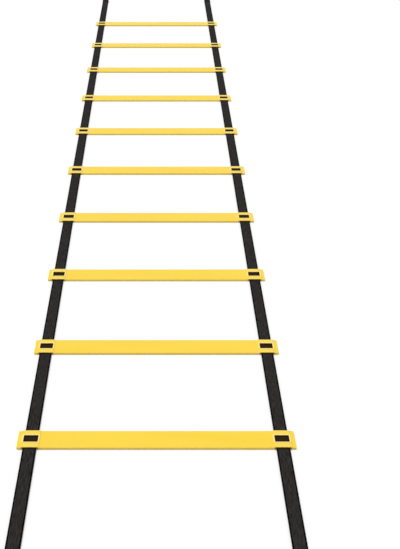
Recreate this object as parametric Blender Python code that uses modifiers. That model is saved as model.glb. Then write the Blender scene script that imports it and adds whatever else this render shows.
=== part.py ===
"""Agility ladder: flat moulded rungs threaded on two webbing straps and laid out on the ground.

X runs across the ladder, Y along it and Z up. The origin is on the ground, under the ladder's middle.
"""

import math

import bmesh
import bpy

MM = 0.001

# The whole ladder
RUNG_COUNT = 10
RUNG_PITCH = 285 * MM
STRAP_TAIL = 360 * MM  # from the middle of an end rung to the tip of the strap

# The webbing strap, folded back under itself and sewn at each end so that it forms an eye
STRAP_WIDTH = 21.5 * MM
STRAP_THICK = 1.2 * MM
HEM_LENGTH = 50 * MM  # where the two layers are sewn together
EYE_LENGTH = 36 * MM  # from the last row of stitches to the tip
EYE_HEIGHT = 7 * MM  # inside the eye
EYE_RISE_STEPS = 8
EYE_TURN_STEPS = 8

# The rung: a flat plate, with a bridge across the strap near each end and a window through the bridge
RUNG_LENGTH = 430 * MM
RUNG_DEPTH = 45 * MM
RUNG_THICK = 3.5 * MM
RUNG_CORNER = 2 * MM
RUNG_EDGE = 0.7 * MM
END_WALL = 9 * MM  # plate left outside the window
CORNER_SEGMENTS = 4
EDGE_SEGMENTS = 2

# The bridge, which is the plate's top raised over the strap
BRIDGE_RISE = 1.2 * MM
BRIDGE_SHOULDER = 3 * MM  # how far the top takes to rise
BRIDGE_MARGIN = 1 * MM  # raised top on each side of the window
SHOULDER_STEPS = 5

# The window, the lip round it and the centre bar that crosses it under the strap
WINDOW_DEPTH = 18 * MM
WINDOW_CORNER = 1.2 * MM
LIP_WIDTH = 2.2 * MM
LIP_RISE = 0.5 * MM
LIP_EDGE = 0.4 * MM
CENTRE_BAR_DEPTH = 8 * MM

# Clearances between the strap and the plastic round it
STRAP_GAP = 0.3 * MM  # above and below the strap
SIDE_PLAY = 0.6 * MM  # on each side of the strap, in the window and under the edge bars

# How far a cutter runs past what it cuts, and how near two points are one point
OVERRUN = 2 * MM
WELD = 0.001 * MM

# Angles between faces: below the first they are one face, above the second their edge is softened, and
# above the third it is shaded as a sharp one
FLAT_ANGLE = math.radians(1)
SOFTENED_ANGLE = math.radians(60)
SHARP_ANGLE = math.radians(40)

# Heights that follow from the strap: its folded layer lies on the ground, and the strap runs on top of it
STRAP_LOW = STRAP_THICK
STRAP_HIGH = STRAP_LOW + STRAP_THICK
CENTRE_BAR_TOP = STRAP_LOW - STRAP_GAP
CHANNEL_TOP = STRAP_HIGH + STRAP_GAP
BRIDGE_TOP = RUNG_THICK + BRIDGE_RISE
LIP_TOP = BRIDGE_TOP + LIP_RISE

# Widths and places that follow from the strap and the rung
WINDOW_WIDTH = STRAP_WIDTH + 2 * SIDE_PLAY
STRAP_X = RUNG_LENGTH / 2 - END_WALL - WINDOW_WIDTH / 2
END_RUNG_Y = RUNG_PITCH * (RUNG_COUNT - 1) / 2
STRAP_TIP_Y = END_RUNG_Y + STRAP_TAIL

SIDES = (-1, 1)

# Colours as linear red, green and blue, and how rough each surface is
YELLOW = (0.91, 0.62, 0.06)
BLACK = (0.022, 0.019, 0.020)
PLASTIC_ROUGHNESS = 0.42
WEBBING_ROUGHNESS = 0.75


def clear_scene():
    for thing in list(bpy.data.objects):
        bpy.data.objects.remove(thing)


def new_collection(name):
    collection = bpy.data.collections.new(name)
    bpy.context.scene.collection.children.link(collection)
    return collection


def new_material(name, colour, roughness):
    material = bpy.data.materials.new(name)
    material.use_nodes = True
    shader = material.node_tree.nodes["Principled BSDF"]
    shader.inputs["Base Color"].default_value = (*colour, 1)
    shader.inputs["Roughness"].default_value = roughness
    shader.inputs["Metallic"].default_value = 0
    return material


def flat_outline(name, outlines, thickness, rotation, collection):
    """A plate whose outer outline and holes are the given rings of points, with that thickness."""
    curve = bpy.data.curves.new(name, "CURVE")
    curve.dimensions = "2D"
    curve.fill_mode = "BOTH"
    curve.extrude = thickness / 2
    for outline in outlines:
        spline = curve.splines.new("POLY")
        spline.points.add(len(outline) - 1)
        for point, (across, up) in zip(spline.points, outline):
            point.co = (across, up, 0, 1)
        spline.use_cyclic_u = True
    plate = bpy.data.objects.new(name, curve)
    plate.rotation_euler = rotation
    collection.objects.link(plate)
    return plate


def as_mesh(source, name):
    """The evaluated shape of an object as a new mesh in the same place, with its loose caps joined."""
    bpy.context.view_layer.update()
    graph = bpy.context.evaluated_depsgraph_get()
    mesh = bpy.data.meshes.new_from_object(source.evaluated_get(graph))
    mesh.transform(source.matrix_world)
    mesh.name = name
    shape = bmesh.new()
    shape.from_mesh(mesh)
    bmesh.ops.remove_doubles(shape, verts=shape.verts, dist=WELD)
    bmesh.ops.recalc_face_normals(shape, faces=shape.faces)
    shape.to_mesh(mesh)
    shape.free()
    bpy.data.objects.remove(source)
    return mesh


def round_edges(shape, edges, radius, segments):
    """Bevels the edges to a round of that radius."""
    bmesh.ops.bevel(shape, geom=edges, offset=radius, segments=segments, profile=0.5, affect="EDGES", material=-1)


def block(name, low, high, collection, corner=0, edge=0):
    """A box between two corners. Its upright edges can have a corner radius, and its top an edge radius."""
    shape = bmesh.new()
    bmesh.ops.create_cube(shape, size=2)
    for vert in shape.verts:
        vert.co = [a if side < 0 else b for a, b, side in zip(low, high, vert.co)]
    if corner:
        upright = [e for e in shape.edges if abs(e.verts[0].co.z - e.verts[1].co.z) > WELD]
        round_edges(shape, upright, corner, CORNER_SEGMENTS)
    if edge:
        top = [e for e in shape.edges if all(abs(v.co.z - high[2]) < WELD for v in e.verts)]
        round_edges(shape, top, edge, EDGE_SEGMENTS)
    mesh = bpy.data.meshes.new(name)
    shape.to_mesh(mesh)
    shape.free()
    solid = bpy.data.objects.new(name, mesh)
    solid.hide_render = True
    solid.display_type = "WIRE"
    collection.objects.link(solid)
    return solid


def add_boolean(target, operation, tools):
    """Joins to the target, or cuts from it, every solid in a collection."""
    boolean = target.modifiers.new(tools.name, "BOOLEAN")
    boolean.operation = operation
    boolean.solver = "EXACT"
    boolean.operand_type = "COLLECTION"
    boolean.collection = tools


def smooth_step(share):
    """Rises from 0 to 1 as the share does, level at both ends."""
    return (1 - math.cos(math.pi * share)) / 2


def rung_front():
    """The rung seen from the front: a flat plate whose top rises into a bridge over each strap."""
    flat = WINDOW_WIDTH / 2 + BRIDGE_MARGIN
    foot = flat + BRIDGE_SHOULDER
    shares = [step / SHOULDER_STEPS for step in range(SHOULDER_STEPS + 1)]
    rise = [(STRAP_X - foot + BRIDGE_SHOULDER * s, RUNG_THICK + BRIDGE_RISE * smooth_step(s)) for s in shares]
    fall = [(2 * STRAP_X - across, up) for across, up in reversed(rise)]
    right_top = rise + fall
    left_top = [(-across, up) for across, up in reversed(right_top)]
    end = RUNG_LENGTH / 2
    return [(-end, 0), (-end, RUNG_THICK), *left_top, *right_top, (end, RUNG_THICK), (end, 0)]


def rung_blank(collection):
    """The plate with its bridges, its corners rounded and its edges softened, before anything is cut."""
    outline = flat_outline("rung_outline", [rung_front()], RUNG_DEPTH, (math.pi / 2, 0, 0), collection)
    mesh = as_mesh(outline, "rung_blank")
    shape = bmesh.new()
    shape.from_mesh(mesh)
    bmesh.ops.dissolve_limit(
        shape, angle_limit=FLAT_ANGLE, use_dissolve_boundaries=False, verts=shape.verts, edges=shape.edges
    )
    end = RUNG_LENGTH / 2
    upright = [
        e
        for e in shape.edges
        if all(abs(abs(v.co.x) - end) < WELD for v in e.verts)
        and abs(e.verts[0].co.y - e.verts[1].co.y) < WELD
    ]
    round_edges(shape, upright, RUNG_CORNER, CORNER_SEGMENTS)
    shape.to_mesh(mesh)
    shape.free()
    blank = bpy.data.objects.new("rung_blank", mesh)
    collection.objects.link(blank)
    soften = blank.modifiers.new("soft_edges", "BEVEL")
    soften.width = RUNG_EDGE
    soften.segments = EDGE_SEGMENTS
    soften.limit_method = "ANGLE"
    soften.angle_limit = SOFTENED_ANGLE
    return blank


def lip_block(name, x, collection):
    """The raised rectangle on the bridge, which the window opens into a lip."""
    half_x = WINDOW_WIDTH / 2 + LIP_WIDTH
    half_y = WINDOW_DEPTH / 2 + LIP_WIDTH
    block(
        name,
        (x - half_x, -half_y, CHANNEL_TOP + STRAP_GAP),
        (x + half_x, half_y, LIP_TOP),
        collection,
        corner=RUNG_CORNER,
        edge=LIP_EDGE,
    )


def window_cutter(name, x, collection):
    """The window in the top, down to the top of the centre bar."""
    block(
        name,
        (x - WINDOW_WIDTH / 2, -WINDOW_DEPTH / 2, CENTRE_BAR_TOP),
        (x + WINDOW_WIDTH / 2, WINDOW_DEPTH / 2, LIP_TOP + OVERRUN),
        collection,
        corner=WINDOW_CORNER,
    )


def channel_cutter(name, x, side, collection):
    """The way for the strap under an edge bar, open below, which stops at the centre bar."""
    near, far = sorted((side * CENTRE_BAR_DEPTH / 2, side * (RUNG_DEPTH / 2 + OVERRUN)))
    block(
        name,
        (x - WINDOW_WIDTH / 2, near, -OVERRUN),
        (x + WINDOW_WIDTH / 2, far, CHANNEL_TOP),
        collection,
    )


def rung_mesh(cutters):
    """One finished rung, centred on the origin."""
    lips = bpy.data.collections.new("lips")
    openings = bpy.data.collections.new("openings")
    cutters.children.link(lips)
    cutters.children.link(openings)
    for side in SIDES:
        end = "left" if side < 0 else "right"
        x = side * STRAP_X
        lip_block(f"lip_{end}", x, lips)
        window_cutter(f"window_{end}", x, openings)
        for way in SIDES:
            edge = "near" if way < 0 else "far"
            channel_cutter(f"channel_{end}_{edge}", x, way, openings)
    blank = rung_blank(cutters)
    add_boolean(blank, "UNION", lips)
    add_boolean(blank, "DIFFERENCE", openings)
    mesh = as_mesh(blank, "rung")
    mesh.shade_smooth()
    mesh.set_sharp_from_angle(angle=SHARP_ANGLE)
    return mesh


def make_rungs(collection, cutters):
    mesh = rung_mesh(cutters)
    mesh.materials.clear()
    mesh.materials.append(new_material("yellow_plastic", YELLOW, PLASTIC_ROUGHNESS))
    for index in range(RUNG_COUNT):
        rung = bpy.data.objects.new(f"rung_{index + 1:02d}", mesh)
        rung.location = (0, index * RUNG_PITCH - END_RUNG_Y, 0)
        collection.objects.link(rung)


def eye_line():
    """The middle of the webbing round the eye: from the last stitches over the top and back underneath."""
    half = STRAP_THICK / 2
    seam = STRAP_TIP_Y - EYE_LENGTH
    radius = EYE_HEIGHT / 2 + half
    turn_y = STRAP_TIP_Y - half - radius
    low, high = STRAP_LOW + half, half + 2 * radius
    shares = [step / EYE_RISE_STEPS for step in range(EYE_RISE_STEPS + 1)]
    rise = [(seam + (turn_y - seam) * s, low + (high - low) * smooth_step(s)) for s in shares]
    angles = [math.pi / 2 - math.pi * step / EYE_TURN_STEPS for step in range(1, EYE_TURN_STEPS)]
    turn = [(turn_y + radius * math.cos(a), half + radius + radius * math.sin(a)) for a in angles]
    return rise + turn + [(turn_y, half), (seam, half)]


def shifted(line, distance):
    """A line of points moved to its left by a distance, square to itself at each point."""
    moved = []
    for index, (y, z) in enumerate(line):
        before = line[max(index - 1, 0)]
        after = line[min(index + 1, len(line) - 1)]
        if index == 0:
            after = (line[1][0], z)
        run, climb = after[0] - before[0], after[1] - before[1]
        length = math.hypot(run, climb)
        moved.append((y - climb / length * distance, z + run / length * distance))
    return moved


def strap_end():
    """The outline of a strap's end and of the eye in it, for the end that points along +Y."""
    line = eye_line()
    outside = shifted(line, STRAP_THICK / 2)
    inside = shifted(line, -STRAP_THICK / 2)
    turn_y = line[-2][0]
    hem_y = STRAP_TIP_Y - EYE_LENGTH - HEM_LENGTH
    outside = outside[:-2] + [(turn_y, 0), (hem_y, 0), (hem_y, STRAP_LOW)]
    eye = inside[1:-2] + [(turn_y, STRAP_THICK), (inside[1][0], STRAP_THICK)]
    return outside, eye


def make_strap(name, x, material, collection):
    outside, eye = strap_end()
    far_outside = [(-y, z) for y, z in reversed(outside)]
    far_eye = [(-y, z) for y, z in reversed(eye)]
    turn_to_side = (math.pi / 2, 0, math.pi / 2)
    outline = flat_outline(
        f"{name}_outline", [outside + far_outside, eye, far_eye], STRAP_WIDTH, turn_to_side, collection
    )
    mesh = as_mesh(outline, name)
    mesh.materials.clear()
    mesh.materials.append(material)
    mesh.shade_smooth()
    mesh.set_sharp_from_angle(angle=SHARP_ANGLE)
    strap = bpy.data.objects.new(name, mesh)
    strap.location = (x, 0, 0)
    collection.objects.link(strap)


def main():
    clear_scene()
    ladder = new_collection("agility_ladder")
    cutters = new_collection("cutters")
    make_rungs(ladder, cutters)
    webbing = new_material("black_webbing", BLACK, WEBBING_ROUGHNESS)
    make_strap("strap_left", -STRAP_X, webbing, ladder)
    make_strap("strap_right", STRAP_X, webbing, ladder)


main()
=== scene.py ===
# %% [markdown]
# Agility ladder
#
# The ladder is ten flat plastic rungs threaded on two long webbing straps and laid out on the ground.
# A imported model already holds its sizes, its places and its motion. This file dresses that model: it
# builds a finer rung and finer webbing in the same places, and gives each a material made of nodes.

import math

import bmesh
import bpy
from mathutils import Matrix, Vector


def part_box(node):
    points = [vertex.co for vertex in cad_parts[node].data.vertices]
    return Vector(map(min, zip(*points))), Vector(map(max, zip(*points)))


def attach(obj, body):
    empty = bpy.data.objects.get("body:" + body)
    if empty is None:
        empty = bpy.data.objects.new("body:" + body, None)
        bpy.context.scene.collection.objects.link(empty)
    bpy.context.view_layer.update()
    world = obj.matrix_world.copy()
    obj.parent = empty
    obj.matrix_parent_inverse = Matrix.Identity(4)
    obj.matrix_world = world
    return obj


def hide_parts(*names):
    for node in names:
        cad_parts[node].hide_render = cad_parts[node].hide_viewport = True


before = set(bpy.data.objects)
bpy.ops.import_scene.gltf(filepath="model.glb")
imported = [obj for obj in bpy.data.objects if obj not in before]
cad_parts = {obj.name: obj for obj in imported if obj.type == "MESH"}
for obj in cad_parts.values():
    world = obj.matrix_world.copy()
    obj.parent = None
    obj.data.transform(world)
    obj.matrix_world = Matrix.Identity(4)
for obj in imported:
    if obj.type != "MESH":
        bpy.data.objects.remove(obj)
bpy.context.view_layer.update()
RUNG_NAMES = sorted(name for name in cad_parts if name.startswith("rung_"))
STRAP_NAMES = sorted(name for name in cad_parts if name.startswith("strap_"))
print(len(RUNG_NAMES), "rungs and", len(STRAP_NAMES), "straps in the frame")

# %% [markdown]
# The main sizes are read from the frame, so that every new piece lies where the solid one lies. A box
# gives a rung's length, depth and height, and the width and place of a strap.

# %% Read the main sizes
MM = 0.001

rung_low, rung_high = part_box(RUNG_NAMES[0])
RUNG_LENGTH = rung_high.x - rung_low.x
RUNG_DEPTH = rung_high.y - rung_low.y
LIP_TOP = rung_high.z

strap_low, strap_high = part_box("strap_right")
STRAP_X = (strap_low.x + strap_high.x) / 2
STRAP_WIDTH = strap_high.x - strap_low.x
STRAP_TIP_Y = strap_high.y

print("a rung is", round(RUNG_LENGTH / MM), "by", round(RUNG_DEPTH / MM), "mm")
print("a strap is", round(STRAP_WIDTH / MM, 1), "mm wide")

# %% [markdown]
# The camera stands at the near end, a little over a metre up, and looks down along the ladder. Nothing
# in the picture is tilted, so the camera has no roll. The ladder lies left of the middle of the
# picture. A real photographer would crop for that, and here the lens shift does it, which keeps the
# rungs level. A long lens is needed because the rungs shrink slowly with distance.

# %% Place the camera
CAMERA_Y = -2.746
CAMERA_HEIGHT = 1.023
CAMERA_PITCH = math.radians(26.63)
SENSOR_MM = 36
LENS_MM = 74.66
PICTURE_LONG_SIDE_PX = 549
LADDER_LEFT_OF_MIDDLE_PX = 43.6
FARTHEST_SEEN = 200

camera_data = bpy.data.cameras.new("camera")
camera_data.sensor_width = SENSOR_MM
camera_data.lens = LENS_MM
camera_data.shift_x = LADDER_LEFT_OF_MIDDLE_PX / PICTURE_LONG_SIDE_PX
camera_data.clip_end = FARTHEST_SEEN
camera = bpy.data.objects.new("camera", camera_data)
camera.location = (0, CAMERA_Y, CAMERA_HEIGHT)
camera.rotation_euler = (math.pi / 2 - CAMERA_PITCH, 0, 0)
bpy.context.scene.collection.objects.link(camera)
bpy.context.scene.camera = camera
print("camera", CAMERA_HEIGHT, "m up, looking down", round(math.degrees(CAMERA_PITCH), 1), "degrees")

# %% [markdown]
# The ladder lies on a plain white ground. A white floor under soft light still renders a little grey,
# and more light would wash out the yellow. So the floor glows faintly, but only as the camera and
# reflections see it: that lifts the open floor to white, and the ladder's soft shadow still shows. The
# Light Path node tells those rays from the ones that light the ladder.

# %% Mix the white of the floor
FLOOR_WHITE = (0.80, 0.80, 0.80, 1)
FLOOR_ROUGHNESS = 0.9


def new_material(name):
    """A material with its tree and its Principled shader."""
    material = bpy.data.materials.new(name)
    material.use_nodes = True
    return material, material.node_tree, material.node_tree.nodes["Principled BSDF"]


WHITE_FLOOR, tree, shader = new_material("white_floor")
shader.inputs["Base Color"].default_value = FLOOR_WHITE
shader.inputs["Roughness"].default_value = FLOOR_ROUGHNESS
shader.inputs["Specular IOR Level"].default_value = 0
print("mixed", WHITE_FLOOR.name)

# %% Let the floor glow where it is seen
FLOOR_GLOW = 0.18
WHITE = (1, 1, 1, 1)


def add_math(tree, operation, first, second=None):
    """A Math node whose two inputs are sockets or numbers. Returns its output."""
    node = tree.nodes.new("ShaderNodeMath")
    node.operation = operation
    for slot, value in enumerate((first, second)):
        if isinstance(value, bpy.types.NodeSocket):
            tree.links.new(value, node.inputs[slot])
        elif value is not None:
            node.inputs[slot].default_value = value
    return node.outputs[0]


def camera_or_shiny_ray(tree):
    """A socket that is 1 for rays that the camera sees directly, in gloss or through glass."""
    rays = tree.nodes.new("ShaderNodeLightPath").outputs
    seen = add_math(tree, "MAXIMUM", rays["Is Camera Ray"], rays["Is Glossy Ray"])
    return add_math(tree, "MAXIMUM", seen, rays["Is Transmission Ray"])


shader.inputs["Emission Color"].default_value = WHITE
glow = add_math(tree, "MULTIPLY", camera_or_shiny_ray(tree), FLOOR_GLOW)
tree.links.new(glow, shader.inputs["Emission Strength"])
print("made", WHITE_FLOOR.name, "with", len(tree.nodes), "nodes")

# %% Lay the floor
FLOOR_SIZE = 60
FLOOR_DROP = 0.2 * MM


def new_piece(name, shape, material):
    """Turns a finished bmesh into an object at the origin. The bmesh is used up."""
    mesh = bpy.data.meshes.new(name)
    shape.to_mesh(mesh)
    shape.free()
    mesh.shade_smooth()
    mesh.materials.append(material)
    piece = bpy.data.objects.new(name, mesh)
    bpy.context.scene.collection.objects.link(piece)
    return piece


ground = bmesh.new()
bmesh.ops.create_grid(ground, x_segments=1, y_segments=1, size=FLOOR_SIZE / 2)
bmesh.ops.translate(ground, verts=ground.verts, vec=(0, 0, -FLOOR_DROP))
floor = new_piece("floor", ground, WHITE_FLOOR)
print("floor", FLOOR_SIZE, "m wide")

# %% [markdown]
# The light is an even white sky and one soft lamp. The lamp stands behind the ladder and high up, so
# it lights every top face fully and leaves the faces toward the camera in half shade. That is what
# draws the thin darker line along each rung's front edge. The sky lights the ladder at half strength,
# at which it would look grey itself, so the camera and reflections are shown a brighter one. Last, the
# Standard view transform shows each colour about as it is written.

# %% Light the sky
SKY_STRENGTH = 0.5
SKY_SEEN_STRENGTH = 1


def add_background(tree, strength):
    """A plain white background of some strength. Returns its output."""
    node = tree.nodes.new("ShaderNodeBackground")
    node.inputs["Color"].default_value = WHITE
    node.inputs["Strength"].default_value = strength
    return node.outputs[0]


world = bpy.data.worlds.new("white_sky")
world.use_nodes = True
bpy.context.scene.world = world
sky = world.node_tree
sky.nodes.clear()
mix = sky.nodes.new("ShaderNodeMixShader")
sky.links.new(camera_or_shiny_ray(sky), mix.inputs[0])
sky.links.new(add_background(sky, SKY_STRENGTH), mix.inputs[1])
sky.links.new(add_background(sky, SKY_SEEN_STRENGTH), mix.inputs[2])
out = sky.nodes.new("ShaderNodeOutputWorld")
sky.links.new(mix.outputs[0], out.inputs["Surface"])
print("the sky lights at", SKY_STRENGTH, "and is seen at", SKY_SEEN_STRENGTH)

# %% Hang the soft lamp
LAMP_STRENGTH = 1.82
LAMP_SOFTNESS = math.radians(30)
LAMP_FROM = Vector((-0.26, 0.30, 1.0))

lamp_data = bpy.data.lights.new("soft_lamp", "SUN")
lamp_data.energy = LAMP_STRENGTH
lamp_data.angle = LAMP_SOFTNESS
lamp = bpy.data.objects.new("soft_lamp", lamp_data)
lamp.rotation_euler = LAMP_FROM.to_track_quat("Z", "Y").to_euler()
bpy.context.scene.collection.objects.link(lamp)
print("the lamp shines at", LAMP_STRENGTH, "and is", round(math.degrees(LAMP_SOFTNESS)), "degrees wide")

# %% Show the colours as they are written
view = bpy.context.scene.view_settings
view.view_transform = "Standard"
print("the view transform is", view.view_transform)

# %% [markdown]
# A rung is one injection moulding. Seen from above it is a plain bar. Near each end the strap runs
# through it: under an edge bar, over a lower centre bar that shows through a window, and under the
# other edge bar. So between the long middle block and the small end block there are three bars, and
# the top is raised a little there, with a lip round the window.
#
# A Boolean could cut the window and the channels, but it leaves long thin triangles that spoil a
# rounded edge. Here the two blocks start from the wall where they face the strap, drawn as a small
# grid of faces. The wall's outline is extruded away from the strap for the block, and facing cells of
# the two walls are bridged for the bars. Nearly every face stays a clean four-sided one. Only the
# right half of the rung is built, and a mirror makes the other.

# %% Name the rung's own sizes
PLATE_TOP = 3.5 * MM
BRIDGE_TOP = 4.7 * MM
CHANNEL_TOP = 2.7 * MM
CENTRE_BAR_TOP = 0.9 * MM
CENTRE_BAR_DEPTH = 8 * MM
WINDOW_WIDTH = 22.7 * MM
WINDOW_DEPTH = 18 * MM
LIP_WIDTH = 2.2 * MM
TOUCH = 0.01 * MM

INNER_X = STRAP_X - WINDOW_WIDTH / 2
OUTER_X = STRAP_X + WINDOW_WIDTH / 2
WALL_ROWS = [0, CENTRE_BAR_TOP, CHANNEL_TOP, BRIDGE_TOP]
HALF_COLUMNS = [CENTRE_BAR_DEPTH / 2, WINDOW_DEPTH / 2, WINDOW_DEPTH / 2 + LIP_WIDTH, RUNG_DEPTH / 2]
WALL_COLUMNS = [-y for y in reversed(HALF_COLUMNS)] + HALF_COLUMNS
print(len(WALL_COLUMNS) - 1, "by", len(WALL_ROWS) - 1, "cells in each wall")


# %% Draw the two walls that face the strap
def add_grid(shape, columns, rows, place):
    """A grid of faces with a line at each column and row. place gives each crossing its point."""
    across, along = len(columns) - 1, len(rows) - 1
    made = bmesh.ops.create_grid(shape, x_segments=across, y_segments=along, size=0.5)["verts"]
    for vert in made:
        column = round((vert.co.x + 0.5) * across)
        row = round((vert.co.y + 0.5) * along)
        vert.co = place(columns[column], rows[row])
    return made


def add_wall(shape, x):
    """Draws the wall that stands across the rung at x. Returns its faces."""
    verts = add_grid(shape, WALL_COLUMNS, WALL_ROWS, lambda y, z: (x, y, z))
    return list(dict.fromkeys(face for vert in verts for face in vert.link_faces))


rung = bmesh.new()
highlight_and_polish = rung.verts.layers.float.new("highlight_and_polish")
passage_shade = rung.verts.layers.float.new("passage_shade")
inner_wall = add_wall(rung, INNER_X)
outer_wall = add_wall(rung, OUTER_X)
print(len(rung.faces), "cells in the two walls")

# %% Raise the top over the strap
BRIDGE_MARGIN = 1 * MM
BRIDGE_SHOULDER = 3 * MM


def share_of(value, start, end):
    """How far a value has come from start to end, kept between 0 and 1."""
    return min(max((value - start) / (end - start), 0), 1)


def eased(share):
    """The share, made to start and stop gently, as half a cosine wave does."""
    return (1 - math.cos(math.pi * share)) / 2


def top_height(x):
    """The height of the rung's top: a flat plate, raised over the strap, with smooth shoulders."""
    flat = WINDOW_WIDTH / 2 + BRIDGE_MARGIN
    down = eased(share_of(abs(x - STRAP_X), flat, flat + BRIDGE_SHOULDER))
    return BRIDGE_TOP - (BRIDGE_TOP - PLATE_TOP) * down


print("the top rises", round((top_height(STRAP_X) - top_height(0)) / MM, 1), "mm over the strap")

# %% Set out the steps along each block
SHOULDER_STEPS = 6
MIDDLE_STEPS = 6


def shoulder_stations(way):
    """Where the top bends beside the lip, toward the rung's middle (way -1) or its end (way 1)."""
    lip_edge = WINDOW_WIDTH / 2 + LIP_WIDTH
    foot = WINDOW_WIDTH / 2 + BRIDGE_MARGIN + BRIDGE_SHOULDER
    step = (foot - lip_edge) / SHOULDER_STEPS
    return [STRAP_X + way * (lip_edge + step * index) for index in range(SHOULDER_STEPS + 1)]


to_middle = shoulder_stations(-1)
last = to_middle[-1]
to_middle += [last * (1 - step / MIDDLE_STEPS) for step in range(1, MIDDLE_STEPS + 1)]
to_end = [*shoulder_stations(1), RUNG_LENGTH / 2]
print(len(to_middle), "steps toward the middle and", len(to_end), "toward the end")


# %% Pull a block out of each wall
def rim(faces):
    """The edges round the outside of a patch of faces."""
    inside = set(faces)
    edges = [edge for face in faces for edge in face.edges]
    return [edge for edge in edges if len(inside.intersection(edge.link_faces)) == 1]


def new_of(kind, made):
    """The vertices, edges or faces among what an operator made."""
    return [item for item in made if isinstance(item, kind)]


def pull_block(shape, faces, stations):
    """Extrudes the rim of a wall from station to station along X. Returns the last rim."""
    edges = rim(faces)
    for x in stations:
        made = bmesh.ops.extrude_edge_only(shape, edges=edges)["geom"]
        for vert in new_of(bmesh.types.BMVert, made):
            vert.co.x = x
            if vert.co.z > CHANNEL_TOP + TOUCH:
                vert.co.z = top_height(x)
        pulled = new_of(bmesh.types.BMEdge, made)
        edges = [edge for edge in pulled if all(abs(vert.co.x - x) < TOUCH for vert in edge.verts)]
    return edges


pull_block(rung, inner_wall, to_middle)
end_rim = pull_block(rung, outer_wall, to_end)
bmesh.ops.contextual_create(rung, geom=end_rim)
print(len(rung.faces), "faces in the two blocks")


# %% Join the blocks with three bars
def cells_at(shape, x, chosen):
    """The faces in the plane of a wall whose middles are in the chosen place."""
    in_plane = [face for face in shape.faces if all(abs(vert.co.x - x) < TOUCH for vert in face.verts)]
    return [face for face in in_plane if chosen(face.calc_center_median())]


def join_with_bar(shape, chosen):
    """Removes the chosen cells of both walls and bridges the two openings."""
    facing = cells_at(shape, INNER_X, chosen)
    opposite = cells_at(shape, OUTER_X, chosen)
    rims = rim(facing) + rim(opposite)
    bmesh.ops.delete(shape, geom=facing + opposite, context="FACES_ONLY")
    bmesh.ops.bridge_loops(shape, edges=rims)
    loose = [edge for edge in shape.edges if not edge.link_faces]
    bmesh.ops.delete(shape, geom=loose, context="EDGES")


def near_bar(middle):
    """Whether a cell with this middle belongs to the near edge bar."""
    return middle.y < -WINDOW_DEPTH / 2 and middle.z > CHANNEL_TOP


def far_bar(middle):
    """The same for the far edge bar."""
    return middle.y > WINDOW_DEPTH / 2 and middle.z > CHANNEL_TOP


def centre_bar(middle):
    """The same for the low centre bar."""
    return abs(middle.y) < CENTRE_BAR_DEPTH / 2 and middle.z < CENTRE_BAR_TOP


for bar in (near_bar, far_bar, centre_bar):
    join_with_bar(rung, bar)
bmesh.ops.recalc_face_normals(rung, faces=rung.faces)
print(len(rung.faces), "faces with the three bars")

# %% [markdown]
# Two marks on a rung follow its shape, and both are painted light and shade in the colour. What stands
# highest gets a painted highlight and a little less roughness: the lip most, the raised bridge a
# little.
# And the walls of the passage that the webbing runs through get a painted brown shade. The marks could
# be painted on a picture, but that would have to be very large to stay sharp. Here each mark is a
# number kept at the vertices, and the material reads it. It is set as soon as the shape that it follows
# is there, so that later operators carry it along.

# %% Mark the painted highlight on the bridge and raise the lip
BRIDGE_HIGHLIGHT_AND_POLISH = 0.12
LIP_HIGHLIGHT_AND_POLISH = 1
FACES_UP = 0.5


def raise_lip(shape):
    """Extrudes the ring of top faces round the window up to the lip's height, and marks its painted
    highlight.
    """
    reach_x = WINDOW_WIDTH / 2 + LIP_WIDTH
    reach_y = WINDOW_DEPTH / 2 + LIP_WIDTH
    ring = []
    for face in shape.faces:
        middle = face.calc_center_median()
        near = abs(middle.x - STRAP_X) < reach_x and abs(middle.y) < reach_y
        if near and face.normal.z > FACES_UP and middle.z > CHANNEL_TOP + TOUCH:
            ring.append(face)
    made = bmesh.ops.extrude_face_region(shape, geom=ring)["geom"]
    for vert in new_of(bmesh.types.BMVert, made):
        vert.co.z = LIP_TOP
        vert[highlight_and_polish] = LIP_HIGHLIGHT_AND_POLISH
    bmesh.ops.delete(shape, geom=ring, context="FACES")


# The raised bridge gets a faint painted highlight, and the lip gets the full one.
for vert in rung.verts:
    if vert.co.z > BRIDGE_TOP - TOUCH:
        vert[highlight_and_polish] = BRIDGE_HIGHLIGHT_AND_POLISH
raise_lip(rung)
print("the lip stands", round((LIP_TOP - BRIDGE_TOP) / MM, 1), "mm above the bridge")

# %% [markdown]
# A moulding has no sharp edge, because molten plastic can't fill one and the steel wouldn't keep one.
# First the upright corners get their radius, seen from above: the rung's ends, the lip and the
# window. Then, once the rung is whole, every other sharp edge gets a weight, and one Bevel modifier
# rounds them all, wide on the outside of the rung and narrow on the lip and the bars. A Subdivision
# Surface would round the edges too, but it would also pull the flat faces out of flat. The Bevel
# modifier hardens the normals, so that they stay flat in the light as well.

# %% Round the upright corners
WINDOW_CORNER = 1.2 * MM
LIP_CORNER = 2.0 * MM
END_CORNER = 2.0 * MM
CORNER_SEGMENTS = 5
CORNERS = [
    (INNER_X, WINDOW_DEPTH / 2, WINDOW_CORNER, CHANNEL_TOP),
    (OUTER_X, WINDOW_DEPTH / 2, WINDOW_CORNER, CHANNEL_TOP),
    (INNER_X - LIP_WIDTH, WINDOW_DEPTH / 2 + LIP_WIDTH, LIP_CORNER, CHANNEL_TOP),
    (OUTER_X + LIP_WIDTH, WINDOW_DEPTH / 2 + LIP_WIDTH, LIP_CORNER, CHANNEL_TOP),
    (RUNG_LENGTH / 2, RUNG_DEPTH / 2, END_CORNER, 0),
]


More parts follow.
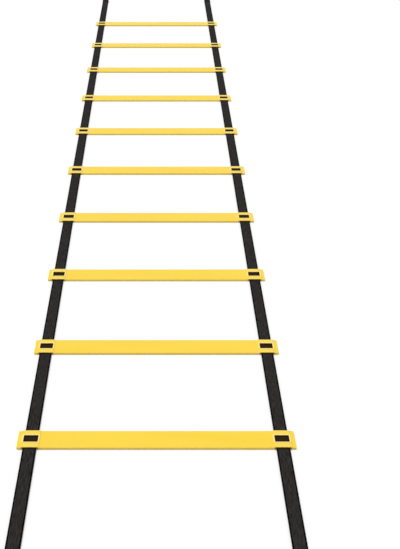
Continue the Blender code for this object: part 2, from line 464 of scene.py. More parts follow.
def round_upright(shape, x, y, radius, lowest):
    """Rounds the upright edges above a height that stand at x and at y on either side."""
    edges = []
    for edge in shape.edges:
        ends = [vert.co for vert in edge.verts]
        stands = all(abs(end.x - x) < TOUCH and abs(abs(end.y) - y) < TOUCH for end in ends)
        high = min(end.z for end in ends) > lowest - TOUCH
        if stands and high and (ends[0] - ends[1]).length > TOUCH:
            edges.append(edge)
    bmesh.ops.bevel(
        shape,
        geom=edges,
        offset=radius,
        segments=CORNER_SEGMENTS,
        profile=0.5,
        affect="EDGES",
        material=-1,
    )
    return len(edges)


rounded = sum(round_upright(rung, *corner) for corner in CORNERS)
print(rounded, "upright edges rounded")

# %% Mark the passage walls for a painted brown shade
marked = 0
for vert in rung.verts:
    beside = abs(vert.co.x - STRAP_X) < WINDOW_WIDTH / 2 + TOUCH
    if beside and vert.co.z < CHANNEL_TOP + TOUCH:
        vert[passage_shade] = 1
        marked += 1
print(marked, "vertices in the passage")


# %% Mirror the half into a whole rung
def all_of(shape):
    """Every vertex, edge and face of a bmesh, as its operators take them."""
    return shape.verts[:] + shape.edges[:] + shape.faces[:]


def count_open_edges(shape):
    """How many edges don't have a face on each side. A closed shell has none."""
    return sum(len(edge.link_faces) != 2 for edge in shape.edges)


bmesh.ops.mirror(rung, geom=all_of(rung), axis="X", merge_dist=TOUCH)
bmesh.ops.remove_doubles(rung, verts=rung.verts, dist=TOUCH)
bmesh.ops.recalc_face_normals(rung, faces=rung.faces)
print(len(rung.faces), "faces in a rung and", count_open_edges(rung), "open edges")

# %% Lay a plan map on the rung
plan_map = rung.loops.layers.uv.new("plan")
for face in rung.faces:
    for loop in face.loops:
        loop[plan_map].uv = (loop.vert.co.x / MM, loop.vert.co.y / MM)
print("the map holds each point's place seen from above, in millimetres")

# %% Weigh the edges that the modifier rounds
EDGE_RADIUS = 0.7 * MM
OUTSIDE_WEIGHT = 1
LIP_WEIGHT = 0.3
BAR_WEIGHT = 0.35
SHARP_ANGLE = math.radians(40)
END_ZONE = 2.1 * MM
LIP_ZONE = 0.6 * MM


def edge_weight(edge):
    """The share of the full radius that an edge gets, told by where it lies."""
    middle = (edge.verts[0].co + edge.verts[1].co) / 2
    on_side = abs(middle.y) > RUNG_DEPTH / 2 - TOUCH
    on_end = abs(middle.x) > RUNG_LENGTH / 2 - END_ZONE
    over_strap = abs(abs(middle.x) - STRAP_X) < WINDOW_WIDTH / 2 + TOUCH
    if (on_side or on_end) and not (over_strap and middle.z < CHANNEL_TOP + TOUCH):
        return OUTSIDE_WEIGHT
    if middle.z > BRIDGE_TOP - LIP_ZONE:
        return LIP_WEIGHT
    return BAR_WEIGHT


weights = rung.edges.layers.float.new("bevel_weight_edge")
sharp_edges = [edge for edge in rung.edges if edge.calc_face_angle(0) > SHARP_ANGLE]
for edge in sharp_edges:
    edge[weights] = edge_weight(edge)
print(len(sharp_edges), "edges to round")

# %% [markdown]
# The plastic, the webbing and the thread are all uneven, in colour and in surface, and each needs the
# same two effects at its own scale. So each effect is a small node group, built once. The first gives
# a soft patchy value between 0 and 1, for mixing colours or roughness. The second gives the height of
# a fine grain, for a bump.

# %% Build the group for soft patches
PATCH_DETAIL = 3


def start_group(name, inputs, output):
    """A shader node group with a vector input, float inputs and one float output."""
    group = bpy.data.node_groups.new(name, "ShaderNodeTree")
    group.interface.new_socket("Vector", in_out="INPUT", socket_type="NodeSocketVector")
    for socket, value in inputs.items():
        made = group.interface.new_socket(socket, in_out="INPUT", socket_type="NodeSocketFloat")
        made.default_value = value
    group.interface.new_socket(output, in_out="OUTPUT", socket_type="NodeSocketFloat")
    return group, group.nodes.new("NodeGroupInput"), group.nodes.new("NodeGroupOutput")


def clamped(tree, value):
    """The value, kept between 0 and 1."""
    return add_math(tree, "MINIMUM", add_math(tree, "MAXIMUM", value, 0), 1)


def build_patches():
    """Soft noise with its contrast raised, kept between 0 and 1."""
    group, given, result = start_group("patches", {"Scale": 10, "Contrast": 2}, "Value")
    noise = group.nodes.new("ShaderNodeTexNoise")
    noise.inputs["Detail"].default_value = PATCH_DETAIL
    group.links.new(given.outputs["Vector"], noise.inputs["Vector"])
    group.links.new(given.outputs["Scale"], noise.inputs["Scale"])
    centred = add_math(group, "SUBTRACT", noise.outputs["Fac"], 0.5)
    stronger = add_math(group, "MULTIPLY", centred, given.outputs["Contrast"])
    lifted = add_math(group, "ADD", stronger, 0.5)
    group.links.new(clamped(group, lifted), result.inputs["Value"])
    return group


PATCHES = build_patches()
print("built the group", PATCHES.name)

# %% Build the group for a fine grain
GRAIN_DETAIL = 2
GRAIN_ROUGHNESS = 0.6


def build_grain():
    """Fine noise times a depth."""
    group, given, result = start_group("grain", {"Scale": 1000, "Depth": 1}, "Height")
    noise = group.nodes.new("ShaderNodeTexNoise")
    noise.inputs["Detail"].default_value = GRAIN_DETAIL
    noise.inputs["Roughness"].default_value = GRAIN_ROUGHNESS
    group.links.new(given.outputs["Vector"], noise.inputs["Vector"])
    group.links.new(given.outputs["Scale"], noise.inputs["Scale"])
    height = add_math(group, "MULTIPLY", noise.outputs["Fac"], given.outputs["Depth"])
    group.links.new(height, result.inputs["Height"])
    return group


GRAIN = build_grain()
print("built the group", GRAIN.name)

# %% [markdown]
# The rungs are polypropylene, coloured right through with a warm yellow pigment. The colour runs a
# little deeper where the plastic flowed thicker along the bar, so the patches are stretched along it.
# The steel of the mould was given a fine matt grain, which the bump repeats, over a very slow
# waviness that thin flat mouldings get as they shrink. One even yellow would look like paint. So the
# material is mixed in steps: the body, then the painted highlight, the scuffs and the painted shade,
# and last the sheen and the grain.

# %% Start the plastic
ALONG_BAR = (0.25, 1, 1)


def stretched(tree, vector, scale):
    """The vector scaled along each axis, which stretches a pattern where the scale is small."""
    node = tree.nodes.new("ShaderNodeMapping")
    node.inputs["Scale"].default_value = scale
    tree.links.new(vector, node.inputs["Vector"])
    return node.outputs["Vector"]


PLASTIC, tree, shader = new_material("moulded_yellow")
place = tree.nodes.new("ShaderNodeTexCoord").outputs["Object"]
along_bar = stretched(tree, place, ALONG_BAR)
print("patterns on", PLASTIC.name, "can run", round(1 / ALONG_BAR[0]), "times longer along the bar")

# %% Find its deeper patches
FLOW = {"Scale": 26, "Contrast": 2.2}
FLOW_SHARES = (0.05, 0.75)
MOTTLE = {"Scale": 240, "Contrast": 1.2}
MOTTLE_SHARES = (0, 0.22)


def place_group(tree, group, vector, **values):
    """A group placed in a tree, with the values of its inputs. Returns its output."""
    node = tree.nodes.new("ShaderNodeGroup")
    node.node_tree = group
    tree.links.new(vector, node.inputs["Vector"])
    for socket, value in values.items():
        node.inputs[socket].default_value = value
    return node.outputs[0]


def between(tree, share, low, high):
    """A number that runs from low to high as the share runs from 0 to 1."""
    return add_math(tree, "ADD", add_math(tree, "MULTIPLY", share, high - low), low)


def patchy(tree, vector, pattern, ends):
    """A number that varies in soft patches from one end to the other."""
    return between(tree, place_group(tree, PATCHES, vector, **pattern), *ends)


flow = patchy(tree, along_bar, FLOW, FLOW_SHARES)
mottle = patchy(tree, place, MOTTLE, MOTTLE_SHARES)
print("the flow deepens the yellow by up to", FLOW_SHARES[1], "and the mottle by", MOTTLE_SHARES[1])

# %% Mix its uneven yellow
YELLOW = (0.93, 0.672, 0.036)
DEEP_YELLOW = (0.91, 0.605, 0.019)


def mix_colours(tree, share, first, second):
    """A colour between two, each a socket or a fixed colour. The share is a socket."""
    node = tree.nodes.new("ShaderNodeMix")
    node.data_type = "RGBA"
    sockets = [socket for socket in node.inputs if socket.type == "RGBA"]
    for socket, value in zip(sockets, (first, second)):
        if isinstance(value, bpy.types.NodeSocket):
            tree.links.new(value, socket)
        else:
            socket.default_value = (*value, 1)
    tree.links.new(share, node.inputs[0])
    return next(socket for socket in node.outputs if socket.type == "RGBA")


body = mix_colours(tree, flow, YELLOW, DEEP_YELLOW)
body = mix_colours(tree, mottle, body, DEEP_YELLOW)
print(len(tree.nodes), "nodes with the uneven yellow")

# %% [markdown]
# The painted highlight makes the lip and the bridge paler, and the painted shade makes the passage
# brown. Both were kept at the vertices, so an Attribute node reads them by name. The rounded edges get
# small pale scuffs. These need no mark of their own, because the plan map already tells how close a
# point is to the rung's outline.

# %% Find the scuffs along the edges
SCUFF_STRETCH = (0.3, 1, 1)
SCUFFS = {"Scale": 420, "Contrast": 4}


def read_map(tree, name):
    """The place on a UV map: the whole vector, then its two axes."""
    uv = tree.nodes.new("ShaderNodeUVMap")
    uv.uv_map = name
    axes = tree.nodes.new("ShaderNodeSeparateXYZ")
    tree.links.new(uv.outputs["UV"], axes.inputs[0])
    return uv.outputs["UV"], axes.outputs["X"], axes.outputs["Y"]


def edge_scuffs(tree, place):
    """Small marks along the rung's rounded outline, found from its plan map."""
    _, x, y = read_map(tree, "plan")
    side_start = (RUNG_DEPTH / 2 - EDGE_RADIUS) / MM
    end_start = (RUNG_LENGTH / 2 - EDGE_RADIUS) / MM
    side = add_math(tree, "SUBTRACT", add_math(tree, "ABSOLUTE", y), side_start)
    end = add_math(tree, "SUBTRACT", add_math(tree, "ABSOLUTE", x), end_start)
    edge = clamped(tree, add_math(tree, "MAXIMUM", side, end))
    marks = place_group(tree, PATCHES, stretched(tree, place, SCUFF_STRETCH), **SCUFFS)
    return add_math(tree, "MULTIPLY", edge, marks)


scuffs = edge_scuffs(tree, place)
print("the scuffs lie on the outer", round(EDGE_RADIUS / MM, 1), "mm of the rung")

# %% Add the painted highlight, the scuffs and the painted shade
HIGHLIGHT_YELLOW = (0.96, 0.84, 0.36)
SCUFFED_YELLOW = (0.95, 0.78, 0.30)
PASSAGE_SHADE_BROWN = (0.060, 0.030, 0.006)
HIGHLIGHT_SHARES = (0, 0.75)
SCUFF_SHARES = (0, 0.6)
PASSAGE_SHADE_SHARES = (-0.1, 1.5)


def read_attribute(tree, name):
    """The number that the vertices keep under that name."""
    node = tree.nodes.new("ShaderNodeAttribute")
    node.attribute_name = name
    return node.outputs["Fac"]


highlight_and_polish_share = read_attribute(tree, "highlight_and_polish")
# Paler where the vertices hold the painted highlight.
body = mix_colours(tree, between(tree, highlight_and_polish_share, *HIGHLIGHT_SHARES), body, HIGHLIGHT_YELLOW)
body = mix_colours(tree, between(tree, scuffs, *SCUFF_SHARES), body, SCUFFED_YELLOW)
# A painted brown shade on the walls of the passage that the webbing runs through.
passage_shade_share = clamped(tree, between(tree, read_attribute(tree, "passage_shade"), *PASSAGE_SHADE_SHARES))
body = mix_colours(tree, passage_shade_share, body, PASSAGE_SHADE_BROWN)
tree.links.new(body, shader.inputs["Base Color"])
print(len(tree.nodes), "nodes with the marks of use")

# %% Give the plastic its sheen and grain
UNEVEN_SHEEN = {"Scale": 60, "Contrast": 2}
PLASTIC_ROUGHNESS = (0.40, 0.52)
POLISH_SMOOTHS_BY = 0.08
PLASTIC_SPECULAR = 0.4
SLOW_WAVES = {"Scale": 30, "Depth": 1}
WAVE_BUMP = (0.35, 0.6 * MM)
MOULD_GRAIN = {"Scale": 2400, "Depth": 1}
MOULD_GRAIN_BUMP = (0.25, 0.05 * MM)


def add_bumps(tree, shader, layers):
    """Bump nodes in a row, each given a height, a strength and a distance."""
    normal = None
    for height, strength, distance in layers:
        bump = tree.nodes.new("ShaderNodeBump")
        bump.inputs["Strength"].default_value = strength
        bump.inputs["Distance"].default_value = distance
        tree.links.new(height, bump.inputs["Height"])
        if normal is not None:
            tree.links.new(normal, bump.inputs["Normal"])
        normal = bump.outputs["Normal"]
    tree.links.new(normal, shader.inputs["Normal"])


rough = patchy(tree, place, UNEVEN_SHEEN, PLASTIC_ROUGHNESS)
rough = add_math(tree, "SUBTRACT", rough, add_math(tree, "MULTIPLY", highlight_and_polish_share, POLISH_SMOOTHS_BY))
tree.links.new(rough, shader.inputs["Roughness"])
shader.inputs["Specular IOR Level"].default_value = PLASTIC_SPECULAR
waves = place_group(tree, GRAIN, along_bar, **SLOW_WAVES)
grain = place_group(tree, GRAIN, place, **MOULD_GRAIN)
add_bumps(tree, shader, [(waves, *WAVE_BUMP), (grain, *MOULD_GRAIN_BUMP)])
print("made", PLASTIC.name, "with", len(tree.nodes), "nodes")

# %% [markdown]
# Ten copies of the rung are laid where the frame's rungs are. They could share one mesh, which would
# save memory. But each has its own, with its place in the vertices, so the patches of colour differ
# from rung to rung as they would between mouldings. Two calls tie a copy to the frame: it rides on
# its rung's body, because every rung can be pushed along the straps, and it replaces the rung's plain
# solid, which is hidden.

# %% Lay the ten rungs
EDGE_SEGMENTS = 4


def round_edges(piece):
    """Rounds a piece's weighted edges with a live Bevel modifier."""
    soften = piece.modifiers.new("rounded_edges", "BEVEL")
    soften.limit_method = "WEIGHT"
    soften.width = EDGE_RADIUS
    soften.segments = EDGE_SEGMENTS
    soften.harden_normals = True
    soften.miter_outer = "MITER_ARC"


for rung_name in RUNG_NAMES:
    low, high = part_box(rung_name)
    copy = rung.copy()
    bmesh.ops.translate(copy, verts=copy.verts, vec=(0, (low.y + high.y) / 2, 0))
    moulding = new_piece(f"{rung_name}_moulding", copy, PLASTIC)
    round_edges(moulding)
    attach(moulding, rung_name)
    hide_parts(rung_name)
rung.free()
print("laid", len(RUNG_NAMES), "rungs")

# %% [markdown]
# Each strap is one length of flat webbing, of the kind that is sold as 22 mm wide. Its warp yarns show
# as fine ribs along it, and a denser, flatter band runs along each edge so that it doesn't fray. At
# both ends the webbing is folded back under itself and sewn, which leaves an eye.
#
# A curve with a flat profile would give a strap quickly, but without a map that the weave can follow
# in millimetres. So the model is made as the real one is. A strip is laid out flat at its full cut
# length and given its ribs, and its flat place is kept as its UV map. Then it is folded: each point
# moves to the same distance along the fold line, seen from the side.

# %% Draw the fold line
WEBBING_THICK = 1.2 * MM
HALF_THICK = WEBBING_THICK / 2
HEM_LENGTH = 50 * MM
EYE_LENGTH = 36 * MM
EYE_HEIGHT = 7 * MM
RISE_STEPS = 24
TURN_STEPS = 20
SEAM_Y = STRAP_TIP_Y - EYE_LENGTH
HEM_Y = SEAM_Y - HEM_LENGTH


def fold_line():
    """The middle of the webbing from the ladder's middle to the strap's tip and back: points (y, z)."""
    radius = EYE_HEIGHT / 2 + HALF_THICK
    turn_y = STRAP_TIP_Y - HALF_THICK - radius
    low, high = WEBBING_THICK + HALF_THICK, HALF_THICK + 2 * radius
    line = [(0, low)]
    for step in range(RISE_STEPS + 1):
        share = step / RISE_STEPS
        line.append((SEAM_Y + (turn_y - SEAM_Y) * share, low + (high - low) * eased(share)))
    for step in range(1, TURN_STEPS + 1):
        angle = math.pi / 2 - math.pi * step / TURN_STEPS
        line.append((turn_y + radius * math.cos(angle), HALF_THICK + radius + radius * math.sin(angle)))
    return line + [(HEM_Y, HALF_THICK)]


def distances(line):
    """How far along the line each of its points is."""
    total = [0]
    for before, after in zip(line, line[1:]):
        total.append(total[-1] + math.dist(before, after))
    return total


LINE = fold_line()
ALONG = distances(LINE)
HALF_CUT_LENGTH = ALONG[-1]
print("each strap is cut", round(2 * HALF_CUT_LENGTH, 3), "m long")

# %% Find a place on the fold line
ROUNDING = 1e-9
TIP_INDEX = 1 + RISE_STEPS + TURN_STEPS // 2


def corner_direction(index):
    """The line's direction at one of its points."""
    before = Vector(LINE[max(index - 1, 0)])
    after = Vector(LINE[min(index + 1, len(LINE) - 1)])
    return (after - before).normalized()


def folded(distance):
    """The point (y, z) that far along the line, and the direction that its upper face looks in."""
    way = -1 if distance < 0 else 1
    reach = min(abs(distance), HALF_CUT_LENGTH)
    index = next(i for i in range(1, len(ALONG)) if reach <= ALONG[i] + ROUNDING)
    share = (reach - ALONG[index - 1]) / (ALONG[index] - ALONG[index - 1])
    before, after = Vector(LINE[index - 1]), Vector(LINE[index])
    point = before.lerp(after, share)
    run = corner_direction(index - 1).lerp(corner_direction(index), share).normalized()
    return Vector((way * point.x, point.y)), Vector((-way * run.y, run.x))


print("the tip of the eye is at y", round(folded(ALONG[TIP_INDEX])[0].x, 3))

# %% Shape the webbing's ribs and edges
RIB_COUNT = 9
RIB_DEPTH = 0.07 * MM
SELVEDGE_WIDTH = 2.5 * MM
SELVEDGE_DROP = 0.12 * MM
SELVEDGE_ROUND = 0.5 * MM
DIP_SHARE = 0.3
LEAST_SQUARE = 0.02
BODY_HALF = STRAP_WIDTH / 2 - SELVEDGE_WIDTH
RIB_WIDTH = 2 * BODY_HALF / RIB_COUNT


def half_thickness(across):
    """Half the webbing's thickness at a distance from its middle line: ribs, then a thinner edge."""
    if across <= BODY_HALF:
        wave = math.cos(2 * math.pi * across / RIB_WIDTH)
        return HALF_THICK - RIB_DEPTH * (1 - wave) / 2
    dip = SELVEDGE_DROP * share_of(across, BODY_HALF, BODY_HALF + DIP_SHARE * SELVEDGE_WIDTH)
    into_round = share_of(across, STRAP_WIDTH / 2 - SELVEDGE_ROUND, STRAP_WIDTH / 2)
    return (HALF_THICK - dip) * math.sqrt(max(1 - into_round**2, LEAST_SQUARE))


print("each of the", RIB_COUNT, "ribs is", round(RIB_WIDTH / MM, 2), "mm wide")

# %% Set out the lines of the flat strip
LINES_PER_RIB = 4
SELVEDGE_SHARES = (0.15, DIP_SHARE, 0.5)
ROUND_SHARES = (0, 0.25, 0.5, 0.75, 1)
RUN_SPACING = 95 * MM


def across_places():
    """Where the lines along the strip run, from its middle to one edge."""
    spacing = RIB_WIDTH / LINES_PER_RIB
    places = [spacing * step for step in range(round(BODY_HALF / spacing) + 1)]
    places += [BODY_HALF + SELVEDGE_WIDTH * share for share in SELVEDGE_SHARES]
    turns = [math.sin(math.pi / 2 * share) for share in ROUND_SHARES]
    return places + [STRAP_WIDTH / 2 - SELVEDGE_ROUND * (1 - turn) for turn in turns]


def along_places():
    """Where the lines across the strip run, from its middle to one end."""
    run = ALONG[1]
    count = round(run / RUN_SPACING)
    return [run * step / count for step in range(count)] + ALONG[1:]


def both_ways(places):
    """The places on both sides of the middle."""
    return [-place for place in reversed(places) if place > 0] + list(places)


COLUMNS = both_ways(across_places())
STRAP_ROWS = both_ways(along_places())
print(len(COLUMNS), "lines along the strip and", len(STRAP_ROWS), "across it")


# %% Lay out a flat strap
def flat_strip(rows, first_y=0):
    """A flat strip, X across and Y along, with its place on the whole webbing as a UV map in mm."""
    strip = bmesh.new()
    add_grid(strip, COLUMNS, rows, lambda x, y: (x, y, half_thickness(abs(x))))
    made = bmesh.ops.duplicate(strip, geom=all_of(strip))["geom"]
    for vert in new_of(bmesh.types.BMVert, made):
        vert.co.z = -vert.co.z
    bmesh.ops.reverse_faces(strip, faces=new_of(bmesh.types.BMFace, made))
    rims = [edge for edge in strip.edges if len(edge.link_faces) == 1]
    bmesh.ops.bridge_loops(strip, edges=rims)
    weave = strip.loops.layers.uv.new("weave")
    for face in strip.faces:
        for loop in face.loops:
            loop[weave].uv = (loop.vert.co.x / MM, (loop.vert.co.y + first_y) / MM)
    return strip


flat_strap = flat_strip(STRAP_ROWS)
print(len(flat_strap.faces), "faces in a strap and", count_open_edges(flat_strap), "open edges")

# %% [markdown]
# Black webbing isn't one flat black. The warp yarns pass over and under the weft in a herringbone, so
# light catches the top of each stitch and the gaps stay near black. Seen from a step away it becomes
# a soft charcoal with fine streaks along it, between two darker edges.
#
# Yarns could be modelled one by one, but seven metres of them would take millions of faces. Here waves
# of the UV map, in millimetres along and across the webbing, give the height of the yarns. The colour,
# the roughness and the bump all read that one height, and the pattern follows the fold.

# %% Work out the height of the yarns
STITCH_PITCH = 1.5
WEFT_PITCH = 1.1


def wave_height(tree, wave):
    """The height, from 0 to 1, of a sine or cosine that runs from -1 to 1."""
    return between(tree, wave, 0.5, 1)


def herringbone(tree, across, along):
    """The height of the yarns, from 0 in the gaps to 1: slanted stitches that turn over at each rib."""
    rib = add_math(tree, "DIVIDE", across, RIB_WIDTH / MM)
    slant = add_math(tree, "PINGPONG", rib, 1)
    stitch = add_math(tree, "ADD", add_math(tree, "DIVIDE", along, STITCH_PITCH), slant)
    yarn = wave_height(tree, add_math(tree, "SINE", add_math(tree, "MULTIPLY", stitch, 2 * math.pi)))
    crest = wave_height(tree, add_math(tree, "COSINE", add_math(tree, "MULTIPLY", rib, 2 * math.pi)))
    return add_math(tree, "MULTIPLY", yarn, crest)


def weft_turns(tree, along):
    """The height of the weft where it turns back at the selvedge, as small ridges across it."""
    turn = add_math(tree, "MULTIPLY", along, 2 * math.pi / WEFT_PITCH)
    return wave_height(tree, add_math(tree, "SINE", turn))


WEBBING, tree, shader = new_material("woven_black")
weave_place, across, along = read_map(tree, "weave")
yarns = herringbone(tree, across, along)
turns = weft_turns(tree, along)
print("a stitch is", STITCH_PITCH, "mm long and a turn of the weft", WEFT_PITCH, "mm")

# %% Tell the flat edges from the ribs
SELVEDGE_FADE = 0.4


def selvedge_mask(tree, across):
    """A mask that is 1 on the flat bands along both edges."""
    past = add_math(tree, "SUBTRACT", add_math(tree, "ABSOLUTE", across), BODY_HALF / MM)
    return clamped(tree, add_math(tree, "DIVIDE", past, SELVEDGE_FADE))


def mix_numbers(tree, share, first, second):
    """A number that runs from the first socket's to the second's as the share runs from 0 to 1."""
    change = add_math(tree, "SUBTRACT", second, first)
    return add_math(tree, "ADD", first, add_math(tree, "MULTIPLY", change, share))


selvedge = selvedge_mask(tree, across)
height = mix_numbers(tree, selvedge, yarns, turns)
print("the edges start", round(BODY_HALF / MM, 2), "mm from the middle line")

# %% Colour the webbing
CHARCOAL = (0.068, 0.063, 0.060)
YARN_GAP = (0.0045, 0.0036, 0.0036)
SELVEDGE_GAP = (0.0008, 0.0007, 0.0007)
SELVEDGE_BLACK = (0.0055, 0.0048, 0.0046)
BEND_SHADE_BROWN = (0.030, 0.0145, 0.005)
YARN_SHARES = (0.3, 0.8)
STREAKS = ((1, 0.07, 1), {"Scale": 0.85, "Contrast": 3.6}, (0.5, 1.42))
FINE_STREAKS = ((1, 0.03, 1), {"Scale": 1.6, "Contrast": 2.4}, (0.8, 1.1))
FADING = ((1, 0.2, 1), {"Scale": 0.06, "Contrast": 1.6}, (0.85, 1.1))

# The colour paints a highlight on the raised yarns and shade in the gaps, on the ribs and the edges
# alike.
lit = between(tree, yarns, *YARN_SHARES)
for stretch, pattern, ends in (STREAKS, FINE_STREAKS, FADING):
    streaks = patchy(tree, stretched(tree, weave_place, stretch), pattern, ends)
    lit = add_math(tree, "MULTIPLY", lit, streaks)
body = mix_colours(tree, clamped(tree, lit), YARN_GAP, CHARCOAL)
edge_black = mix_colours(tree, turns, SELVEDGE_GAP, SELVEDGE_BLACK)
body = mix_colours(tree, selvedge, body, edge_black)
# A painted brown shade where the rung holds the webbing.
body = mix_colours(tree, read_attribute(tree, "bend_shade"), body, BEND_SHADE_BROWN)
tree.links.new(body, shader.inputs["Base Color"])
print(len(tree.nodes), "nodes with the colours of the webbing")

# %% Make the webbing dull and fibrous
WEBBING_ROUGHNESS = (0.92, 0.75)
WEBBING_SPECULAR = 0.006
YARN_BUMP = (0.8, 0.12 * MM)
FIBRE_STRETCH = (1, 0.25, 1)
FIBRES = {"Scale": 6, "Depth": 1}
FIBRE_BUMP = (0.5, 0.03 * MM)

tree.links.new(between(tree, height, *WEBBING_ROUGHNESS), shader.inputs["Roughness"])
shader.inputs["Specular IOR Level"].default_value = WEBBING_SPECULAR
fibres = place_group(tree, GRAIN, stretched(tree, weave_place, FIBRE_STRETCH), **FIBRES)
add_bumps(tree, shader, [(height, *YARN_BUMP), (fibres, *FIBRE_BUMP)])
print("made", WEBBING.name, "with", len(tree.nodes), "nodes")


# %% Fold and lay the two straps
def fold_strip(strip, x):
    """Folds the flat strip along the fold line and moves it to its place across the ladder."""
    for vert in strip.verts:
        point, up = folded(vert.co.y)
        placed = point + up * vert.co.z
        vert.co = (x + vert.co.x, placed.x, placed.y)
    bmesh.ops.recalc_face_normals(strip, faces=strip.faces)


for strap_name in STRAP_NAMES:
    low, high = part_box(strap_name)
    strip = flat_strap.copy()
    fold_strip(strip, (low.x + high.x) / 2)
    side = strap_name.removeprefix("strap_")
    webbing = new_piece(f"webbing_{side}", strip, WEBBING)
    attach(webbing, "straps")
    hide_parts(strap_name)
    print("laid", webbing.name)
flat_strap.free()

# %% [markdown]
# In each window the webbing climbs over the rung's centre bar, and it dips again under each edge bar.
# That bend is what grips the rung, and it travels with the rung when the rung is pushed along. The
# straps here lie straight, so that a rung can slide on them. Each rung therefore carries its own short
# length of webbing, which lies on the strap, arches up in the window, where it is pressed a little
# wider, and runs out just past the edge bars. At rest its weave lines up with the strap's.
#
# Where the rung holds the webbing it gets a painted brown shade: full under the edge bars, fading out
# just past them, and a little lighter in the middle of the window. A number at the vertices tells the
# material how much.

# %% Set out the lines of a bend
BEND_REACH = 10.5 * MM
BEND_STEPS = 10
BEND_TAIL = 3.5 * MM

arch_rows = [BEND_REACH * step / BEND_STEPS for step in range(BEND_STEPS + 1)]
tail_rows = [RUNG_DEPTH / 2, RUNG_DEPTH / 2 + BEND_TAIL / 2, RUNG_DEPTH / 2 + BEND_TAIL]
BEND_ROWS = both_ways(arch_rows + tail_rows)
print("a bend is", round(2 * BEND_ROWS[-1] / MM), "mm long, with", len(BEND_ROWS), "lines across it")

# %% Press a bend and arch it
BEND_RISE = 2.0 * MM
BEND_GAP = 0.02 * MM
BEND_SPREAD = 0.4 * MM
BEND_SHADE_LEAST = 0.75
BEND_SHADE_FROM = 4 * MM
BEND_SHADE_FULL = 8 * MM
STRAP_TOP = 2 * WEBBING_THICK


def bend_shade_at(distance):
    """How much painted shade the webbing gets, at a distance from the middle of the window."""
    if distance > RUNG_DEPTH / 2:
        return 1 - (distance - RUNG_DEPTH / 2) / BEND_TAIL
    return BEND_SHADE_LEAST + (1 - BEND_SHADE_LEAST) * share_of(distance, BEND_SHADE_FROM, BEND_SHADE_FULL)


def spread_at(distance):
    """How much wider the pressed webbing is than the strap, at a distance from the window's middle."""
    return 1 + share_of(distance, RUNG_DEPTH / 2, BEND_REACH) * BEND_SPREAD / (STRAP_WIDTH / 2)


def bend_strip(strip, x, y):
    """Lays a short strip on the strap's top face at (x, y), with an arch in its middle."""
    bend_shade = strip.verts.layers.float.new("bend_shade")
    for vert in strip.verts:
        distance = abs(vert.co.y)
        # Each vertex keeps how much painted shade it gets.
        vert[bend_shade] = bend_shade_at(distance)
        vert.co.x *= spread_at(distance)
        lift = BEND_RISE * eased(share_of(distance, BEND_REACH, 0))
        lowest = STRAP_TOP + (2 * BEND_GAP if vert.co.z > 0 else BEND_GAP)
        z = max(STRAP_TOP - HALF_THICK + lift + vert.co.z, lowest)
        vert.co = (x + vert.co.x, y + vert.co.y, z)
    bmesh.ops.recalc_face_normals(strip, faces=strip.faces)


print("the pressed webbing is", round(STRAP_WIDTH * spread_at(0) / MM, 1), "mm wide")

# %% Lay a bend in every window
SIDES = (("left", -STRAP_X), ("right", STRAP_X))

for rung_name in RUNG_NAMES:
    low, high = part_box(rung_name)
    rung_y = (low.y + high.y) / 2
    for side, strap_x in SIDES:
        strip = flat_strip(BEND_ROWS, rung_y)
        bend_strip(strip, strap_x, rung_y)
        bend = new_piece(f"{rung_name}_webbing_bend_{side}", strip, WEBBING)
        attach(bend, rung_name)
print("bent the webbing in", 2 * len(RUNG_NAMES), "windows")

# %% [markdown]
# The folded ends are held by a sewn box with a cross in it, the usual seam where a strap carries a
# pull. Thread can't be painted on, because in a low light it stands up from the webbing and throws a
# shadow. A stitch is a tiny sphere pulled long, and a row of them follows each straight run of the
# seam. On the underside the same stitches are pulled down into the weave, so the hem still lies flat.
#
# The thread is black too, but it is twisted hard and bonded with a resin, so it is smoother than the
# webbing and catches more light. Its material needs no map: fine patches of painted sheen, paler and
# smoother than the rest, stand for the twist.

# %% Set out the runs of a seam
SEAM_INSET = 2.8 * MM
SEAM_MARGIN = 4 * MM


def seam_runs():
    """The straight runs of the seam seen from above, from the hem's middle: a box and its diagonals."""
    half_x = STRAP_WIDTH / 2 - SEAM_INSET
    half_y = HEM_LENGTH / 2 - SEAM_MARGIN
    places = [(-half_x, -half_y), (half_x, -half_y), (half_x, half_y), (-half_x, half_y)]
    corners = [Vector((x, y, 0)) for x, y in places]
    sides = list(zip(corners, corners[1:] + corners[:1]))
    return sides + [(corners[0], corners[2]), (corners[1], corners[3])]


SEAM_RUNS = seam_runs()
print(len(SEAM_RUNS), "runs in a seam")

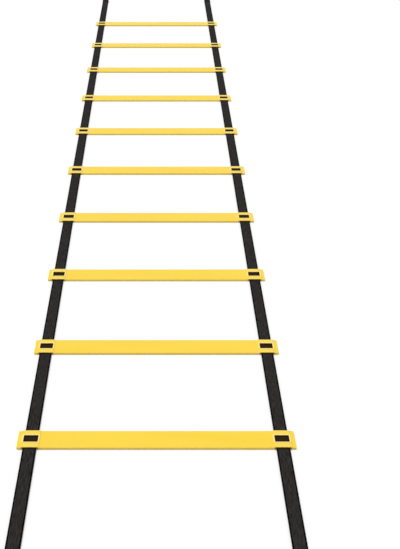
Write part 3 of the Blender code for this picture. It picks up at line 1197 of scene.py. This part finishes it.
# %% Mix the thread
THREAD_BLACK = (0.020, 0.0185, 0.019)
THREAD_SHEEN = (0.055, 0.052, 0.053)
THREAD_TWIST_SHEEN = {"Scale": 1500, "Contrast": 3}
THREAD_ROUGHNESS = (0.5, 0.34)
THREAD_FIBRES = {"Scale": 2500, "Depth": 1}
THREAD_BUMP = (0.6, 0.06 * MM)

THREAD, tree, shader = new_material("bonded_black_thread")
place = tree.nodes.new("ShaderNodeTexCoord").outputs["Object"]
twist_sheen = place_group(tree, PATCHES, place, **THREAD_TWIST_SHEEN)
# Paler patches of the colour are painted sheen.
tree.links.new(mix_colours(tree, twist_sheen, THREAD_BLACK, THREAD_SHEEN), shader.inputs["Base Color"])
tree.links.new(between(tree, twist_sheen, *THREAD_ROUGHNESS), shader.inputs["Roughness"])
fibres = place_group(tree, GRAIN, place, **THREAD_FIBRES)
add_bumps(tree, shader, [(fibres, *THREAD_BUMP)])
print("made", THREAD.name, "with", len(tree.nodes), "nodes")

# %% Sew the four hems
THREAD_THICK = 0.5 * MM
STITCH_LENGTH = 2.6 * MM
STITCH_STEP = 3.1 * MM
STITCH_SIDES = 8
STITCH_RINGS = 5
FACES_IN_A_STITCH = STITCH_SIDES * STITCH_RINGS


def add_stitches(shape, middle):
    """Stitches along every run of a seam whose middle is the given point."""
    size = Matrix.Diagonal((STITCH_LENGTH, THREAD_THICK, THREAD_THICK, 1))
    for start, end in SEAM_RUNS:
        run = end - start
        count = round(run.length / STITCH_STEP)
        turn = Matrix.Rotation(math.atan2(run.y, run.x), 4, "Z")
        for index in range(count):
            stitch_place = Matrix.Translation(middle + start + run * (index + 0.5) / count)
            bmesh.ops.create_uvsphere(
                shape,
                u_segments=STITCH_SIDES,
                v_segments=STITCH_RINGS,
                radius=0.5,
                matrix=stitch_place @ turn @ size,
            )


for side, strap_x in SIDES:
    for end, way in (("near", -1), ("far", 1)):
        seam = bmesh.new()
        hem_middle = way * (HEM_Y + SEAM_Y) / 2
        add_stitches(seam, Vector((strap_x, hem_middle, STRAP_TOP)))
        add_stitches(seam, Vector((strap_x, hem_middle, THREAD_THICK / 2)))
        stitching = new_piece(f"stitching_{end}_{side}", seam, THREAD)
        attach(stitching, "straps")
        stitches = len(stitching.data.polygons) // FACES_IN_A_STITCH
        print("sewed", stitching.name, "with", stitches, "stitches")
